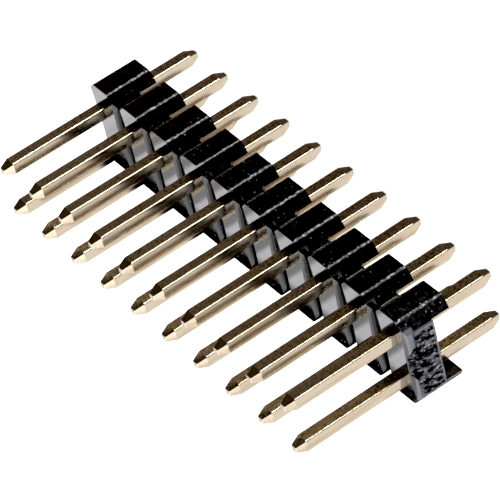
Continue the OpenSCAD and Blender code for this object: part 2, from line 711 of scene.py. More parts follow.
    def surface(self, graph: Graph) -> Socket:
        """Builds the surface shader.

        Args:
            graph: The material's nodes.

        Returns:
            The shader.
        """
        place = graph.millimetres()
        film = graph.add(Kind.NOISE, self.film.at(place))[0]
        film = graph.add(Kind.RANGE, self.film_share.of(film), **SMOOTH)[0]
        colour = linear(self.black)
        dust = self.dusting(graph, place)
        wear = self.wear(graph, place)
        strain = self.strain(graph, place)
        wear = graph.add(Kind.MATH, (wear, strain), operation="MAXIMUM")[0]
        layers = ((film, self.dusty_black), (dust, self.dust), (wear, self.scuff))
        for share, layer in layers:
            inputs = {0: share, 6: colour, 7: linear(layer)}
            colour = graph.add(Kind.MIX, inputs, data_type="RGBA")[2]
        rough = graph.add(Kind.NOISE, self.gloss.at(place))[0]
        rough = graph.add(Kind.RANGE, self.gloss_rough.of(rough), **SMOOTH)[0]
        worn = graph.add(Kind.MATH, (wear, dust), operation="MAXIMUM")[0]
        worn = graph.add(Kind.MATH, (worn, self.worn_rough), operation="MULTIPLY")[0]
        rough = graph.add(Kind.MATH, (rough, worn), operation="MAXIMUM")[0]
        sink = graph.add(Kind.NOISE, self.sink.at(place))[0]
        inputs = {"Distance": self.sink_depth * MM, "Height": sink}
        waves = graph.add(Kind.BUMP, {**inputs, "Strength": 1.0})[0]
        grain = graph.add(Kind.NOISE, self.grain.at(place))[0]
        inputs = {"Distance": self.grain_depth * MM, "Height": grain, "Normal": waves}
        relief = graph.add(Kind.BUMP, {**inputs, "Strength": 1.0})[0]
        inputs = {"Base Color": colour, "Roughness": rough, "IOR": self.ior, "Normal": relief}
        return graph.add(Kind.PRINCIPLED, inputs)[0]


@dataclass(frozen=True)
class SnappedPlastic(Finish):
    """The torn inside of the same black PBT.

    Broken by bending, it is matt: black in its hollows, deepened by painted shade, grey where
    it was stretched, and nearly white on its glass fibres, their pale colour partly painted
    glints.

    Attributes:
        dark: Colour of the hollows, the plastic's black deepened as painted shade.
        grey: Colour of the stretched lumps.
        fibre: Colour of the fibres, their own pale colour brightened as painted glints.
        stretch: How the pattern is drawn out along the break.
        lumps: Pattern of the lumps, about 0.3 mm across.
        lump_share: How much of them shows.
        lump_depth: Their depth.
        fibres: Pattern of the fibres. They are 0.01 mm thick, too fine to show,
            so tufts of them are drawn, 0.1 mm across.
        fibre_share: How much of them shows.
        fibre_depth: Their depth.
        rough: Roughness of the hollows and of the fibres.
        shine: Strength of reflection of the lumps and the rim; the hollows get none, as painted
            shade.
        ior: Index of refraction of PBT.
        rim_grey: Colour of the smooth, stress-whitened rim.
        rim_z: Height of the edge along the channel, where the rim starts.
        rim_y: Place of its edge along the notches.
        rim_shake: Pattern that makes the rim ragged.
        rim_shake_depth: How far it does.
        rim_width: How the rim fades out.
        rim_share: How much of it shows between the fibres.
    """

    dark: str = "#010101"
    grey: str = "#72737a"
    fibre: str = "#f2f3f6"
    stretch: tuple[float, float, float] = (1.0, 1.0, 0.5)
    lumps: Pattern = Pattern(3.4, 8.0, 0.8)
    lump_share: Step = Step(0.485, 0.57)
    lump_depth: float = 0.24
    fibres: Pattern = Pattern(11.0, 6.0, 0.8)
    fibre_share: Step = Step(0.53, 0.59)
    fibre_depth: float = 0.1
    rough: Step = Step(0.3, 0.7, 0.55, 0.85)
    shine: float = 0.5
    ior: float = 1.52
    rim_grey: str = "#9d9fa6"
    rim_z: float = 0.98
    rim_y: float = 1.86
    rim_shake: Pattern = Pattern(3.0, 5.0, 0.7)
    rim_shake_depth: float = 0.06
    rim_width: Step = Step(0.04, 0.08, 1.0, 0.0)
    rim_share: Step = Step(0.4, 0.55, 0.4, 1.0)

    def rim(self, graph: Graph, place: Socket) -> Socket:
        """Finds the smooth, stress-whitened rim of the snapped web.

        Args:
            graph: The material's nodes.
            place: Place in millimetres.

        Returns:
            1 on the rim, 0 away from it.
        """
        axes = graph.add(Kind.SPLIT, (place,))
        shake = graph.add(Kind.NOISE, self.rim_shake.at(place))[0]
        shake = graph.add(Kind.MATH, (shake, self.rim_shake_depth), operation="MULTIPLY")[0]
        low = graph.add(Kind.MATH, (axes[2], self.rim_z), operation="SUBTRACT")[0]
        side = graph.add(Kind.MATH, (axes[1],), operation="ABSOLUTE")[0]
        side = graph.add(Kind.MATH, (self.rim_y, side), operation="SUBTRACT")[0]
        nearest = graph.add(Kind.MATH, (low, side), operation="MINIMUM")[0]
        nearest = graph.add(Kind.MATH, (nearest, shake), operation="SUBTRACT")[0]
        return graph.add(Kind.RANGE, self.rim_width.of(nearest), **SMOOTH)[0]

    def surface(self, graph: Graph) -> Socket:
        """Builds the surface shader.

        Args:
            graph: The material's nodes.

        Returns:
            The shader.
        """
        place = graph.millimetres()
        across = graph.add(Kind.VECTOR, (place, self.stretch), operation="MULTIPLY")[0]
        lumps = graph.add(Kind.NOISE, self.lumps.at(across))[0]
        fibres = graph.add(Kind.NOISE, self.fibres.at(across))[0]
        grey = graph.add(Kind.RANGE, self.lump_share.of(lumps), **SMOOTH)[0]
        fibres_and_glints = graph.add(Kind.RANGE, self.fibre_share.of(fibres), **SMOOTH)[0]
        fibres_and_glints = graph.add(Kind.MATH, (fibres_and_glints, grey), operation="MULTIPLY")[0]
        shown = graph.add(Kind.RANGE, self.rim_share.of(fibres), **SMOOTH)[0]
        rim = graph.add(Kind.MATH, (self.rim(graph, place), shown), operation="MULTIPLY")[0]
        # Painted shade: the plastic's black is deepened in the hollows; the pale fibre specks are
        # partly painted glints.
        colour = linear(self.dark)
        for share, layer in ((grey, self.grey), (fibres_and_glints, self.fibre), (rim, self.rim_grey)):
            inputs = {0: share, 6: colour, 7: linear(layer)}
            colour = graph.add(Kind.MIX, inputs, data_type="RGBA")[2]
        # Painted shade: the hollows get no reflection, as if their pits trapped the light.
        pit_shaded_reflection = graph.add(Kind.MATH, (grey, rim), operation="MAXIMUM")[0]
        pit_shaded_reflection = graph.add(Kind.MATH, (pit_shaded_reflection, self.shine), operation="MULTIPLY")[0]
        rough = graph.add(Kind.RANGE, self.rough.of(fibres), **SMOOTH)[0]
        inputs = {"Distance": self.lump_depth * MM, "Height": lumps}
        coarse = graph.add(Kind.BUMP, {**inputs, "Strength": 1.0})[0]
        inputs = {"Distance": self.fibre_depth * MM, "Height": fibres, "Normal": coarse}
        relief = graph.add(Kind.BUMP, {**inputs, "Strength": 1.0})[0]
        inputs = {
            "Base Color": colour,
            "Roughness": rough,
            "IOR": self.ior,
            "Specular IOR Level": pit_shaded_reflection,
            "Normal": relief,
        }
        return graph.add(Kind.PRINCIPLED, inputs)[0]


@dataclass(frozen=True)
class GoldPlating(Finish):
    """A thin gold flash over nickel on drawn square wire, a little tarnished.

    The faces that the die drew are smooth and slightly crowned, and they mirror
    their surroundings in streaks along the wire. The faces towards the long sides
    were sheared, so they are duller, pitted and stained. The tips are dull.

    Attributes:
        gold: Colour of the clean plating.
        tarnish: Colour where the nickel shows through.
        drawn: How the patterns are drawn out along the wire.
        clouds: Pattern of the tarnish, in clouds 0.4 mm wide.
        cloud_share: How much of it shows.
        sheared: How a sheared face is told by its normal.
        sheared_rough: Its roughness.
        tip: How the end of a pin is told by its normal.
        tip_rough: Its roughness.
        tip_colour: Its colour.
        grains: Pattern of the pits and stains. Real pits are 0.02 mm wide, too
            fine to show, so they are drawn 0.1 mm wide.
        stain: Colour of the stains.
        stain_share: How much of them shows.
        stain_fade: How far the stains thin out towards the mating end, which makes the sheared
            faces lighter there.
        pit_depth: Depth of the pits.
        gloss: Pattern of the gloss.
        gloss_rough: Its roughness.
        streaks: Pattern of the die lines. They are 0.01 mm apart, too fine to
            show, so they are drawn 0.06 mm apart.
        streak_depth: Their depth.
        row_pitch: From one row of pins to the other.
        half_width: Half the width of a pin.
        crown: Height of the crown of a drawn face.
    """

    gold: str = "#e2d4bb"
    tarnish: str = "#c2a67e"
    drawn: tuple[float, float, float] = (1.0, 1.0, 0.12)
    clouds: Pattern = Pattern(2.4, 5.0, 0.6)
    cloud_share: Step = Step(0.4, 0.75, 0.0, 0.5)
    sheared: Step = Step(0.9, 0.98, 0.06, 1.0)
    sheared_rough: float = 0.33
    tip: Step = Step(0.8, 0.95)
    tip_rough: float = 0.45
    tip_colour: str = "#9b8f78"
    grains: Pattern = Pattern(11.0, 5.0, 0.8)
    stain: str = "#6e5a36"
    stain_share: Step = Step(0.45, 0.58)
    stain_fade: Step = Step(3.5, 4.5, 0.0, 0.04)
    pit_depth: float = 0.0038
    gloss: Pattern = Pattern(7.0, 4.0)
    gloss_rough: Step = Step(0.3, 0.7, 0.13, 0.2)
    streaks: Pattern = Pattern(16.0)
    streak_depth: float = 0.0008
    row_pitch: float = 2.54
    half_width: float = 0.32
    crown: float = 0.009

    def relief(self, graph: Graph, row: Socket, drawn: Socket, pits: Socket) -> Socket:
        """Shapes the faces of the wire: crowned, streaked and pitted.

        Args:
            graph: The material's nodes.
            row: Place across the rows in millimetres.
            drawn: Place drawn out along the wire.
            pits: Height of the pits.

        Returns:
            The normal.
        """
        off = graph.add(Kind.MATH, (row, self.row_pitch, 0.0), operation="WRAP")[0]
        off = graph.add(Kind.MATH, (off, self.row_pitch / 2), operation="SUBTRACT")[0]
        off = graph.add(Kind.MATH, (off, self.half_width), operation="DIVIDE")[0]
        crown = graph.add(Kind.MATH, (off, off), operation="MULTIPLY")[0]
        crown = graph.add(Kind.MATH, (1.0, crown), operation="SUBTRACT")[0]
        streaks = graph.add(Kind.NOISE, self.streaks.at(drawn))[0]
        layers = ((crown, self.crown), (streaks, self.streak_depth), (pits, self.pit_depth))
        below: dict[str, Value] = {}
        for height, depth in layers:
            inputs = {"Strength": 1.0, "Distance": depth * MM, "Height": height, **below}
            below = {"Normal": graph.add(Kind.BUMP, inputs)[0]}
        return below["Normal"]

    def surface(self, graph: Graph) -> Socket:
        """Builds the surface shader.

        Args:
            graph: The material's nodes.

        Returns:
            The shader.
        """
        place = graph.millimetres()
        axes = graph.add(Kind.SPLIT, (place,))
        drawn = graph.add(Kind.VECTOR, (place, self.drawn), operation="MULTIPLY")[0]
        facing = graph.add(Kind.SPLIT, (graph.add(Kind.PLACE)["Normal"],))
        sheared = graph.add(Kind.MATH, (facing[1],), operation="ABSOLUTE")[0]
        sheared = graph.add(Kind.RANGE, self.sheared.of(sheared), **SMOOTH)[0]
        tip = graph.add(Kind.MATH, (facing[2],), operation="ABSOLUTE")[0]
        tip = graph.add(Kind.RANGE, self.tip.of(tip), **SMOOTH)[0]
        clouds = graph.add(Kind.NOISE, self.clouds.at(drawn))[0]
        clouds = graph.add(Kind.RANGE, self.cloud_share.of(clouds), **SMOOTH)[0]
        grains = graph.add(Kind.NOISE, self.grains.at(place))[0]
        # Fewer stains towards the mating end, so the sheared faces are lighter there.
        stain_fade = graph.add(Kind.RANGE, self.stain_fade.of(axes[2]), **SMOOTH)[0]
        stains = graph.add(Kind.MATH, (grains, stain_fade), operation="SUBTRACT")[0]
        stains = graph.add(Kind.RANGE, self.stain_share.of(stains), **SMOOTH)[0]
        stains = graph.add(Kind.MATH, (stains, sheared), operation="MULTIPLY")[0]
        colour = linear(self.gold)
        layers = ((clouds, self.tarnish), (stains, self.stain), (tip, self.tip_colour))
        for share, layer in layers:
            inputs = {0: share, 6: colour, 7: linear(layer)}
            colour = graph.add(Kind.MIX, inputs, data_type="RGBA")[2]
        rough = graph.add(Kind.NOISE, self.gloss.at(drawn))[0]
        rough = graph.add(Kind.RANGE, self.gloss_rough.of(rough), **SMOOTH)[0]
        for share, duller in ((tip, self.tip_rough), (sheared, self.sheared_rough)):
            dull = graph.add(Kind.MATH, (share, duller), operation="MULTIPLY")[0]
            rough = graph.add(Kind.MATH, (rough, dull), operation="MAXIMUM")[0]
        pits = graph.add(Kind.MATH, (grains, sheared), operation="MULTIPLY")[0]
        normal = self.relief(graph, axes[1], drawn, pits)
        inputs = {"Base Color": colour, "Metallic": 1.0, "Roughness": rough, "Normal": normal}
        return graph.add(Kind.PRINCIPLED, inputs)[0]


@dataclass(frozen=True)
class PaperFloor(Finish):
    """White paper, lit from behind like a light table, so that it has no shadows.

    Attributes:
        white: Colour of the paper.
        fibre_white: Colour of its fibres.
        fibres: Pattern of its fibres, in clumps of 0.7 mm. A single one is too
            fine to show.
        rough: Its roughness.
        glow: Light that comes through it.
    """

    white: str = "#f4f4f4"
    fibre_white: str = "#ffffff"
    fibres: Pattern = Pattern(1.5)
    rough: float = 0.9
    glow: float = 0.93

    def surface(self, graph: Graph) -> Socket:
        """Builds the surface shader.

        Args:
            graph: The material's nodes.

        Returns:
            The shader.
        """
        fibres = graph.add(Kind.NOISE, self.fibres.at(graph.millimetres()))[0]
        inputs = {0: fibres, 6: linear(self.white), 7: linear(self.fibre_white)}
        paper = graph.add(Kind.MIX, inputs, data_type="RGBA")[2]
        inputs = {
            "Base Color": paper,
            "Roughness": self.rough,
            "Emission Color": linear(self.fibre_white),
            "Emission Strength": self.glow,
        }
        return graph.add(Kind.PRINCIPLED, inputs)[0]


@dataclass(frozen=True)
class PaintedPaperShadow(Finish):
    """Painted shadow of the strip on paper close by, thinning out to nothing away from it.

    Attributes:
        black: Colour of the painted shadow.
        face: How it ends above the mating face.
        pitch: From one pair of pins to the next.
        pin_shadow_x: How far the painted shadow of a pair of pins lies from the middle of the
            pair.
        pin_shadow_fade: How that painted shadow fades out to both sides.
        tips: How those painted shadows end near the tips of the pins.
        tails: How it starts below the board face.
        snapped_end: How it starts at the snapped end.
        moulded_end: How it ends past the moulded end.
    """

    black: str = "#050505"
    face: Step = Step(2.9, 3.5, 1.0, 0.0)
    pitch: float = 2.54
    pin_shadow_x: float = 0.5
    pin_shadow_fade: Step = Step(0.2, 0.65, 0.6, 0.0)
    tips: Step = Step(6.4, 6.7, 1.0, 0.0)
    tails: Step = Step(-1.5, -0.8)
    snapped_end: Step = Step(-12.9, -11.7)
    moulded_end: Step = Step(12.6, 15.0, 1.0, 0.0)

    def pin_shadows(self, graph: Graph, along: Socket) -> Socket:
        """Repeats the painted shadow of each pair of pins, set off to one side of the pair.

        Args:
            graph: The material's nodes.
            along: Place along the strip in millimetres.

        Returns:
            Share of painted shadow.
        """
        half = self.pitch / 2
        phase = graph.add(Kind.MATH, (along, half + self.pin_shadow_x), operation="SUBTRACT")[0]
        phase = graph.add(Kind.MATH, (phase, self.pitch, 0.0), operation="WRAP")[0]
        phase = graph.add(Kind.MATH, (phase, half), operation="SUBTRACT")[0]
        phase = graph.add(Kind.MATH, (phase,), operation="ABSOLUTE")[0]
        phase = graph.add(Kind.MATH, (half, phase), operation="SUBTRACT")[0]
        return graph.add(Kind.RANGE, self.pin_shadow_fade.of(phase), **SMOOTH)[0]

    def surface(self, graph: Graph) -> Socket:
        """Builds the surface shader.

        Args:
            graph: The material's nodes.

        Returns:
            The shader.
        """
        axes = graph.add(Kind.SPLIT, (graph.millimetres(),))
        tips = graph.add(Kind.RANGE, self.tips.of(axes[2]), **SMOOTH)[0]
        pin_shadows = self.pin_shadows(graph, axes[0])
        pin_shadows = graph.add(Kind.MATH, (pin_shadows, tips), operation="MULTIPLY")[0]
        cover = graph.add(Kind.RANGE, self.face.of(axes[2]), **SMOOTH)[0]
        cover = graph.add(Kind.MATH, (cover, pin_shadows), operation="MAXIMUM")[0]
        limits = ((self.tails, axes[2]), (self.snapped_end, axes[0]), (self.moulded_end, axes[0]))
        for limit, axis in limits:
            share = graph.add(Kind.RANGE, limit.of(axis), **SMOOTH)[0]
            cover = graph.add(Kind.MATH, (cover, share), operation="MULTIPLY")[0]
        # Painted shadow: dark where the strip and its pins would shade the paper, clear elsewhere.
        clear = graph.add(Kind.CLEAR)[0]
        painted_shadow_shader = graph.add(Kind.DIFFUSE, {"Color": linear(self.black)})[0]
        return graph.add(Kind.BLEND, (cover, clear, painted_shadow_shader))[0]


# ---------------------------------------------------------------- the object


@dataclass
class Grid:
    """Where the pins stand, read from the CAD frame, in millimetres.

    Attributes:
        pins: Centre line of each pin by node name.
        bottom: Height of the tips of the tails.
        top: Height of the tips of the mating ends.
        width: Width of a pin.
    """

    pins: dict[str, Vector]
    bottom: float
    top: float
    width: float

    @classmethod
    def from_frame(cls, nodes: dict[str, bpy.types.Object]) -> "Grid":
        """Measures the pins of the CAD frame.

        Args:
            nodes: The frame's nodes by name.

        Returns:
            The grid.
        """
        pins = {}
        for name in sorted(n for n in nodes if n.startswith("pin_")):
            low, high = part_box(name)
            pins[name] = (low + high) / (2 * MM)
        return cls(pins, low.z / MM, high.z / MM, (high.x - low.x) / MM)

    def positions(self) -> list[float]:
        """Lists the X of the pairs of pins, from the snapped end."""
        return sorted({round(centre.x, 3) for centre in self.pins.values()})


@dataclass
class Pin:
    """The square wire pins with their four-sided points, in millimetres.

    Attributes:
        grid: Where the pins stand.
        material: Their finish.
        point_length: Length of a point.
        point_width: Width of the flat at its end.
        corner: Width of the rounding of the long edges.
        corner_facets: Facets across it.
        edge: Width of the bevel of all other edges.
        edge_angle: Edges sharper than this many degrees get it.
        smooth_angle: Edges flatter than this many degrees are shaded smooth.
    """

    grid: Grid
    material: bpy.types.Material
    point_length: float = 0.5
    point_width: float = 0.33
    corner: float = 0.055
    corner_facets: int = 8
    edge: float = 0.012
    edge_angle: float = 30.0
    smooth_angle: float = 14.0

    def taper(self, shape: Shape, side: int) -> None:
        """Draws one end of the wire out to a point.

        Args:
            shape: The wire.
            side: 1 for the mating end and -1 for the tail.
        """
        shape.select_faces(lambda centre, normal: normal.z * side > ALONG)
        bpy.ops.mesh.extrude_region_move(
            TRANSFORM_OT_translate={"value": (0.0, 0.0, side * self.point_length)}
        )
        share = self.point_width / self.grid.width
        bpy.ops.transform.resize(value=(share, share, 1.0))
        bpy.ops.object.mode_set(mode="OBJECT")

    def wire(self) -> Shape:
        """Models one pin on the Z axis.

        Returns:
            The pin.
        """
        half = self.grid.width / 2
        low = (-half, -half, self.grid.bottom + self.point_length)
        high = (half, half, self.grid.top - self.point_length)
        shape = Shape.box("pin", low, high)
        self.taper(shape, 1)
        self.taper(shape, -1)
        shape.select_edges(lambda start, end: abs(start.z - end.z) > self.point_length / 2)
        bpy.ops.mesh.bevel(
            offset=self.corner,
            segments=self.corner_facets,
            affect="EDGES",
            clamp_overlap=False,
        )
        bpy.ops.object.mode_set(mode="OBJECT")
        shape.round_edges(self.edge, 1, self.edge_angle)
        return shape

    def build(self) -> list[bpy.types.Object]:
        """Models and dresses every pin.

        Returns:
            The pins.
        """
        model = self.wire()
        made = []
        for node, centre in self.grid.pins.items():
            shape = model.copy_at((centre.x, centre.y, 0.0))
            obj = shape.finish(self.smooth_angle)
            obj.name = f"wire_{node}"
            obj.data.name = obj.name
            obj.data.materials.append(self.material)
            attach(obj, "root")
            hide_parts(node)
            made.append(obj)
        bpy.data.objects.remove(model.obj)
        return made


@dataclass(frozen=True)
class Lump:
    """A lump of plastic at the snapped end, torn towards -X, in millimetres.

    Attributes:
        name: Name of the lump.
        low: Its lowest corner, with X counted from the notch line.
        high: Its highest corner, counted in the same way.
        cuts: How finely it is divided.
        depth: Depth of its torn relief.
        planes: Points and normals of planes that bound it as well.
        relief: Size of the bumps of a coarse and a fine relief, and their
            shares of that depth.
        detail: How many finer patterns lie in each.
        root: How far the untorn back reaches in.
    """

    name: str
    low: Point
    high: Point
    cuts: int
    depth: float
    planes: Sequence[tuple[Point, Point]] = ()
    relief: Sequence[tuple[float, float]] = ((0.45, 0.6), (0.12, 0.4))
    detail: int = 3
    root: float = 1e-3

    def block(self, line: float) -> Shape:
        """Models the lump before it is torn.

        Args:
            line: Place of the notch line along X.

        Returns:
            The lump, finely divided.
        """
        low, high = ((line + corner[0], *corner[1:]) for corner in (self.low, self.high))
        shape = Shape.box(self.name, low, high)
        for point, normal in self.planes:
            shape.cut((line + point[0], *point[1:]), normal)
        with shape.editing():
            bpy.ops.mesh.subdivide(number_cuts=self.cuts)
        return shape

    def tear(self, shape: Shape, line: float) -> None:
        """Tears up everything but the back of the lump.

        Args:
            shape: The lump.
            line: Place of the notch line along X.
        """
        group = shape.obj.vertex_groups.new(name="torn")
        back = line + self.high[0] - self.root
        front = [v.index for v in shape.obj.data.vertices if v.co.x < back]
        group.add(front, 1.0, "REPLACE")
        for scale, share in self.relief:
            texture = bpy.data.textures.new(f"{self.name}_relief", "CLOUDS")
            texture.noise_scale = scale
            texture.noise_depth = self.detail
            modifier = shape.obj.modifiers.new("relief", "DISPLACE")
            modifier.texture = texture
            modifier.texture_coords = "LOCAL"
            modifier.direction = "X"
            modifier.mid_level = 0.0
            modifier.strength = self.depth * share
            modifier.vertex_group = group.name
            bpy.ops.object.modifier_apply(modifier=modifier.name)
        shape.obj.vertex_groups.clear()

    def build(self, line: float, torn: bpy.types.Material) -> Shape:
        """Models and dresses the lump.

        Args:
            line: Place of the notch line along X.
            torn: Its finish.

        Returns:
            The lump.
        """
        shape = self.block(line)
        self.tear(shape, line)
        shape.obj.data.materials.append(torn)
        return shape


@dataclass
class Insulator:
    """The waisted black moulding. Its sizes are in millimetres.

    Attributes:
        grid: Where the pins stand.
        plastic: Finish of the moulded faces.
        torn: Finish of the snapped end.
        half_width: Half the distance between the long sides.
        height: From the board face to the mating face.
        half_pitch: From the middle of a block to a notch line.
        ridge: Where a long side ends and the V notch starts, in X and Y.
        shoulder: Where the side of a block turns steeper than that notch.
        wall: Where the straight wall of a block starts.
        throat: Lower line of the lip of the groove, in X and Z.
        groove: Half width of the groove at the middle of the mating face, and
            radius of the arcs that bound it there.
        web_top: Height of the top of a web.
        notch_y: Distance of a notch line from the middle of the strip.
        arch: Radius of the rounded end of a slot.
        arch_z: Height of its centre.
        channel: Half width and height of the channel along the board face.
        clearance: Gap round a pin.
        over: How far a cut runs past a face.
        lumps: The stub of the web that was snapped through, the skin that tore
            off above it, and the tail of that skin.
        edge: Width of the rounding of the moulded edges.
        edge_facets: Facets across it.
        edge_angle: Edges sharper than this many degrees get it.
        smooth_angle: Edges flatter than this many degrees are shaded smooth.
    """

    grid: Grid
    plastic: bpy.types.Material
    torn: bpy.types.Material
    half_width: float = 2.47
    height: float = 2.5
    half_pitch: float = 1.27
    ridge: tuple[float, float] = (0.61, 2.47)
    shoulder: tuple[float, float] = (0.863, 2.24)
    wall: tuple[float, float] = (1.08, 1.85)
    throat: tuple[float, float] = (0.99, 2.32)
    groove: tuple[float, float] = (0.5, 13.5)
    web_top: float = 2.01
    notch_y: float = 1.87
    arch: float = 0.19
    arch_z: float = 0.89
    channel: tuple[float, float] = (1.89, 0.98)
    clearance: float = 0.01
    over: float = 1.0
    lumps: tuple[Lump, ...] = (
        Lump("stub", (0.03, -1.87, 0.98), (0.327, 1.87, 2.03), 60, 0.12),
        Lump(
            "skin",
            (0.07, -0.95, 1.91),
            (0.5, 0.85, 2.46),
            50,
            0.06,
            (
                ((0.07, 0.0, 2.01), (-0.31, 0.0, 0.13)),
                ((0.2, 0.0, 2.32), (-0.14, 0.0, 0.18)),
                ((0.0, -0.95, 2.2), (0.0, -0.24, 0.5)),
                ((0.0, 0.85, 2.3), (0.0, 0.14, 0.2)),
            ),
        ),
        Lump(
            "tail",
            (0.07, 0.75, 1.91),
            (0.4, 1.87, 2.28),
            40,
            0.05,
            (((0.07, 0.0, 2.01), (-0.27, 0.0, 0.05)),),
        ),
    )
    edge: float = 0.015
    edge_facets: int = 2
    edge_angle: float = 20.0
    smooth_angle: float = 12.0

    def notch_normal(self) -> tuple[float, float]:
        """Finds the X and Y of the normal of the V notch on the +X +Y side of a block."""
        return self.half_width - self.notch_y, self.half_pitch - self.ridge[0]

    def column(self) -> Shape:
        """Models the octagonal column round one pair of pins, about x = 0.

        Returns:
            The column.
        """
        wall_x, wall_y = self.wall
        corner = (wall_x, self.half_width, self.height)
        shape = Shape.box("moulding", (-wall_x, -self.half_width, 0.0), corner)
        steep = (self.shoulder[1] - wall_y, wall_x - self.shoulder[0])
        sides = ((self.ridge, self.notch_normal()), (self.shoulder, steep))
        for side in (-1, 1):
            for row in (-1, 1):
                for point, normal in sides:
                    shape.cut(
                        (side * point[0], row * point[1], 0.0),
                        (side * normal[0], row * normal[1], 0.0),
                    )
            self.cut_groove(shape, side)
        return shape

    def cut_groove(self, shape: Shape, side: int) -> None:
        """Cuts one side of a column to the wall and the lip of a groove.

        Args:
            shape: The column.
            side: 1 for its +X side and -1 for its -X side.
        """
        throat_x, throat_z = self.throat
        half_groove, radius = self.groove
        lip_width = half_groove - (self.half_pitch - throat_x)
        lip_depth = self.height - throat_z
        centre = side * (self.half_pitch - half_groove + radius)
        throat = radius - lip_width
        wall = throat - (self.wall[0] - throat_x)
        cones = (
            ("wall", self.web_top, wall, throat, throat_z - self.web_top),
            ("lip", throat_z, throat, radius + lip_width, 2 * lip_depth),
        )
        for name, bottom, low, high, depth in cones:
            cone = Shape.cone(name, (centre, 0.0, bottom), low, high, depth)
            shape.combine(cone, Combine.DIFFERENCE)

    def half_web(self) -> Shape:
        """Models half a web, on the -X side of its notch line at x = 0.

        Returns:
            The half web.
        """
        reach = self.half_pitch - self.shoulder[0]
        low = (-reach, -self.shoulder[1], self.arch_z)
        shape = Shape.box("web", low, (0.0, self.shoulder[1], self.web_top))
        notch = self.notch_normal()
        length = self.half_width - self.wall[1]
        middle = (self.half_width + self.wall[1]) / 2
        for row in (-1, 1):
            shape.cut((0.0, row * self.notch_y, 0.0), (notch[0], row * notch[1], 0.0))
            rod = Shape.rod_along_y("arch", (0.0, row * middle, self.arch_z), self.arch, length)
            shape.combine(rod, Combine.DIFFERENCE)
        return shape

    def web(self) -> Shape:
        """Models a whole web about its notch line at x = 0.

        Returns:
            The web.
        """
        shape = self.half_web()
        shape.select_faces(lambda centre, normal: normal.x > ALONG and abs(centre.x) < SAME_POINT)
        bpy.ops.mesh.delete(type="FACE")
        bpy.ops.object.mode_set(mode="OBJECT")
        shape.join([shape.mirrored()])
        shape.tidy()
        return shape

    def add_webs(self, strip: Shape) -> None:
        """Joins the blocks by their webs and adds the half web at the moulded end.

        Args:
            strip: The blocks.
        """
        model = self.web()
        places = self.grid.positions()
        webs = [model.copy_at((x + self.half_pitch, 0.0, 0.0)) for x in places[:-1]]
        bpy.data.objects.remove(model.obj)
        last = self.half_web()
        end = last.copy_at((places[-1] + self.half_pitch, 0.0, 0.0))
        bpy.data.objects.remove(last.obj)
        end.join(webs)
        strip.combine(end, Combine.UNION)

    def cut_channel_and_holes(self, strip: Shape) -> None:
        """Cuts the channel along the board face and the holes of the pins.

        Args:
            strip: The strip.
        """
        places = self.grid.positions()
        ends = (places[0] - 2 * self.half_pitch, places[-1] + 2 * self.half_pitch)
        width, height = self.channel
        tool = Shape.box("channel", (ends[0], -width, -self.over), (ends[1], width, height))
        strip.combine(tool, Combine.DIFFERENCE)
        half = self.grid.width / 2 + self.clearance
        holes = [
            Shape.box(
                "hole",
                (centre.x - half, centre.y - half, -self.over),
                (centre.x + half, centre.y + half, self.height + self.over),
            )
            for centre in self.grid.pins.values()
        ]
        holes[0].join(holes[1:])
        strip.combine(holes[0], Combine.DIFFERENCE)

    def build(self) -> bpy.types.Object:
        """Models and dresses the moulding.

        Returns:
            The moulding.
        """
        model = self.column()
        places = self.grid.positions()
        blocks = [model.copy_at((x, 0.0, 0.0)) for x in places]
        bpy.data.objects.remove(model.obj)
        strip = blocks[0]
        strip.join(blocks[1:])
        self.add_webs(strip)
        self.cut_channel_and_holes(strip)
        strip.tidy()
        strip.round_edges(self.edge, self.edge_facets, self.edge_angle)
        strip.obj.data.materials.append(self.plastic)
        line = places[0] - self.half_pitch
        strip.join([lump.build(line, self.torn) for lump in self.lumps])
        obj = strip.finish(self.smooth_angle)
        obj.name = "moulded_strip"
        obj.data.name = obj.name
        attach(obj, "root")
        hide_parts("insulator")
        return obj


# ---------------------------------------------------------------- the studio


